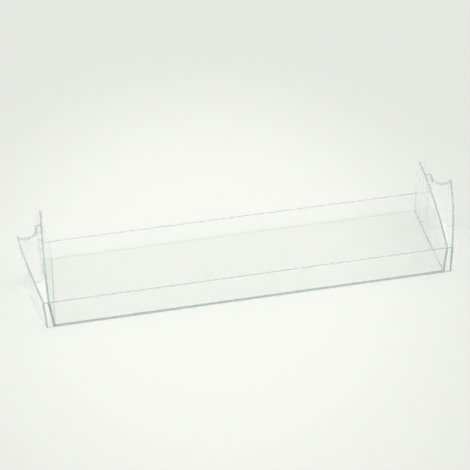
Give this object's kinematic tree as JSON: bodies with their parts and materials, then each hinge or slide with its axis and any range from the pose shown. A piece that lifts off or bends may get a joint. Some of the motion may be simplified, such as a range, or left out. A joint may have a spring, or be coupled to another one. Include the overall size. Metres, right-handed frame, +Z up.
{
  "type": "fridge door shelf",
  "caption": "Clear moulded fridge door shelf: a long shallow tray with a front rail, a lower back wall and hollow end cheeks that hook onto the door.",
  "frame": {"origin": "centre of the overall box, at the underside of the tray's floor", "axes": "+X along the shelf, -Y towards the front rail, +Y towards the door, +Z up"},
  "size_m": [0.502, 0.1206, 0.0719],
  "materials": {
    "clear_plastic": "polished, clear with a faint aqua tint"
  },
  "bodies": {
    "root": {"door_shelf": "clear_plastic"}
  },
  "joints": []
}
